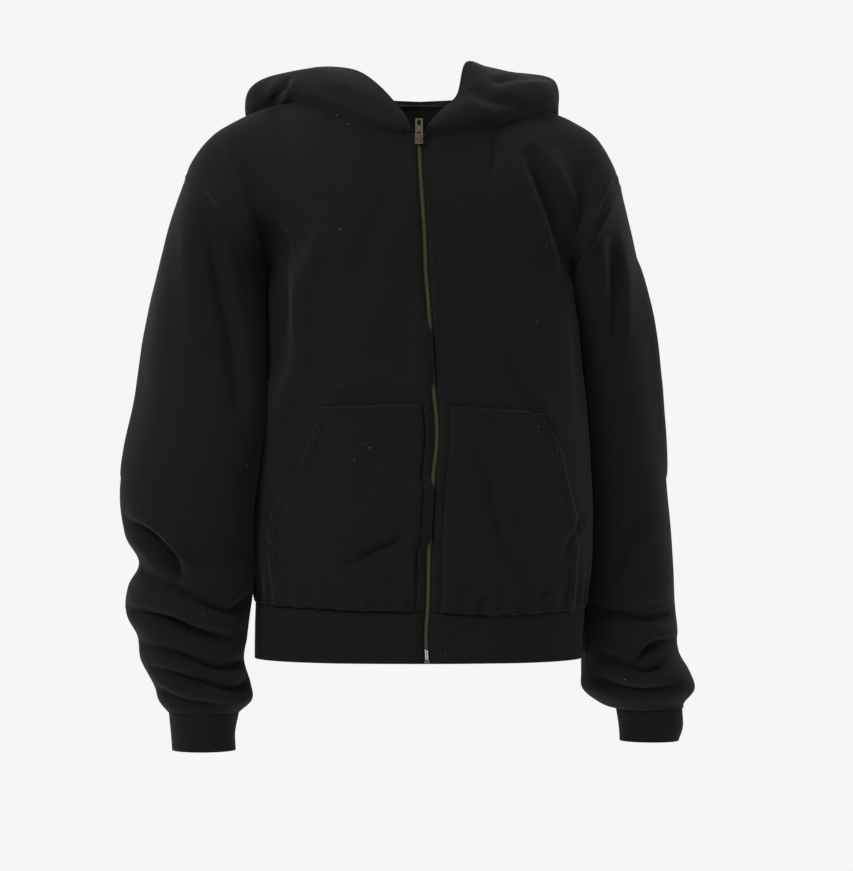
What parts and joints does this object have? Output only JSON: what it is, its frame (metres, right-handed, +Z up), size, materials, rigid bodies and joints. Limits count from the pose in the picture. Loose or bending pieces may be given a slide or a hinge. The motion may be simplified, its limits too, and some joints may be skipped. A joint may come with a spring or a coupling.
{
  "type": "zip up hoodie",
  "caption": "Loose black zip up hoodie with split kangaroo pocket, hood lying open on the shoulders, gathered sleeves, cuffs and hem band, in its worn form.",
  "frame": {"origin": "middle of the neck opening, level with the high points of the shoulders", "axes": "+Z up, the zip faces -Y, the wearer's left is +X"},
  "size_m": [0.6605, 0.3327, 0.7828],
  "materials": {
    "fleece": "matte washed black brushed jersey",
    "rib": "matte washed black jersey band",
    "zip_tape": "woven black tape",
    "zip_metal": "aged brass, slightly worn"
  },
  "bodies": {
    "garment": {"front_right": "fleece", "front_left": "fleece", "back": "fleece", "sleeve_right": "fleece", "sleeve_left": "fleece", "hood_right": "fleece", "hood_left": "fleece", "pocket_right": "fleece", "pocket_left": "fleece", "cuff_right": "rib", "cuff_left": "rib", "hem_band": "rib", "zip_tape_right": "zip_tape", "zip_tape_left": "zip_tape", "zip_chain": "zip_metal", "zip_slider": "zip_metal"},
    "pull_tab": {"zip_pull": "zip_metal"}
  },
  "joints": [
    {"name": "pull_swing", "type": "hinge", "parent": "garment", "child": "pull_tab", "pos_m": [0.0037, -0.11578, -0.0593], "axis": [1, 0, 0], "range_deg": [-5, 180]}
  ]
}
